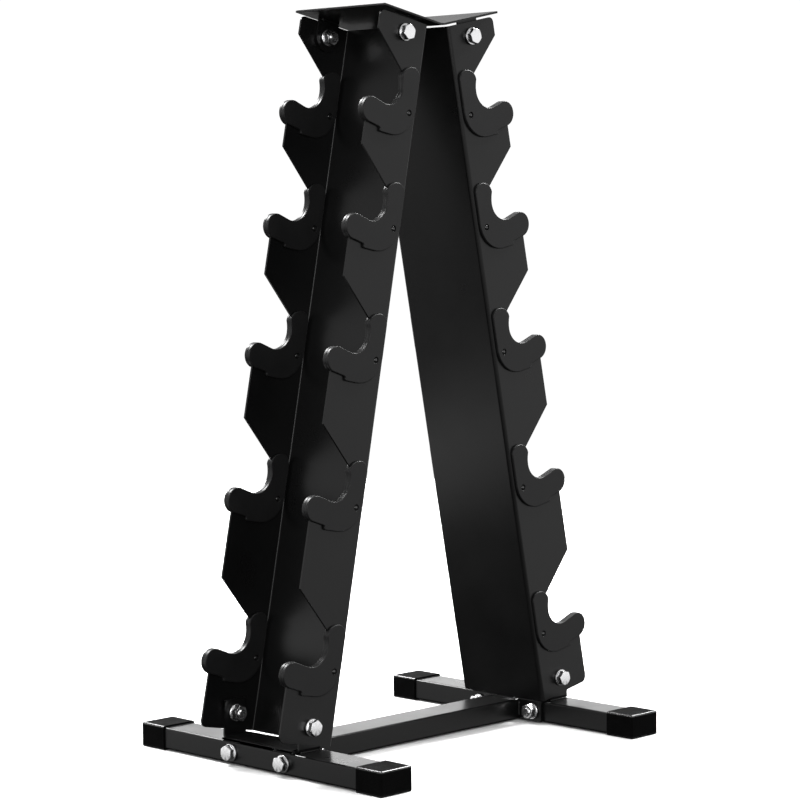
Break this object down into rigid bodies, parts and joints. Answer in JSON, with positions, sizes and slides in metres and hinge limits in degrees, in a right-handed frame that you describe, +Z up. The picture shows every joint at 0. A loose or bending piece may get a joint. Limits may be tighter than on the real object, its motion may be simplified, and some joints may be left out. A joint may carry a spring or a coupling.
{
  "type": "dumbbell rack",
  "caption": "A-frame dumbbell rack: two leaning folded-steel channels with padded saw-tooth hooks, a shallow V top plate and an H-shaped foot frame with end caps.",
  "frame": {"origin": "on the floor, under the middle of the rack", "axes": "+X from the left foot to the right foot, +Y from the front to the back along the feet, +Z up"},
  "size_m": [0.4112, 0.32, 0.6873],
  "materials": {
    "black_steel": "semi-gloss black powder coat with a fine orange-peel texture",
    "pad_rubber": "satin black moulded rubber-like pad",
    "cap_plastic": "fine-grained black moulded plastic with a soft sheen",
    "zinc_fastener": "bright zinc plate, lightly brushed"
  },
  "bodies": {
    "root": {"top_plate": "black_steel", "spreader": "black_steel", "right_channel": "black_steel", "right_foot": "black_steel", "right_foot_bracket": "black_steel", "right_end_plate": "black_steel", "right_front_cap": "cap_plastic", "right_front_pad_1": "pad_rubber", "right_front_pad_2": "pad_rubber", "right_front_pad_3": "pad_rubber", "right_front_pad_4": "pad_rubber", "right_front_pad_5": "pad_rubber", "right_front_bottom_bolt": "zinc_fastener", "right_front_bottom_nut": "zinc_fastener", "right_front_top_bolt": "zinc_fastener", "right_front_top_nut": "zinc_fastener", "right_front_foot_bolt": "zinc_fastener", "right_front_foot_nut": "zinc_fastener", "right_back_cap": "cap_plastic", "right_back_pad_1": "pad_rubber", "right_back_pad_2": "pad_rubber", "right_back_pad_3": "pad_rubber", "right_back_pad_4": "pad_rubber", "right_back_pad_5": "pad_rubber", "right_back_bottom_bolt": "zinc_fastener", "right_back_bottom_nut": "zinc_fastener", "right_back_top_bolt": "zinc_fastener", "right_back_top_nut": "zinc_fastener", "right_back_foot_bolt": "zinc_fastener", "right_back_foot_nut": "zinc_fastener", "left_channel": "black_steel", "left_foot": "black_steel", "left_foot_bracket": "black_steel", "left_end_plate": "black_steel", "left_front_cap": "cap_plastic", "left_front_pad_1": "pad_rubber", "left_front_pad_2": "pad_rubber", "left_front_pad_3": "pad_rubber", "left_front_pad_4": "pad_rubber", "left_front_pad_5": "pad_rubber", "left_front_bottom_bolt": "zinc_fastener", "left_front_bottom_nut": "zinc_fastener", "left_front_top_bolt": "zinc_fastener", "left_front_top_nut": "zinc_fastener", "left_front_foot_bolt": "zinc_fastener", "left_front_foot_nut": "zinc_fastener", "left_back_cap": "cap_plastic", "left_back_pad_1": "pad_rubber", "left_back_pad_2": "pad_rubber", "left_back_pad_3": "pad_rubber", "left_back_pad_4": "pad_rubber", "left_back_pad_5": "pad_rubber", "left_back_bottom_bolt": "zinc_fastener", "left_back_bottom_nut": "zinc_fastener", "left_back_top_bolt": "zinc_fastener", "left_back_top_nut": "zinc_fastener", "left_back_foot_bolt": "zinc_fastener", "left_back_foot_nut": "zinc_fastener"}
  },
  "joints": []
}
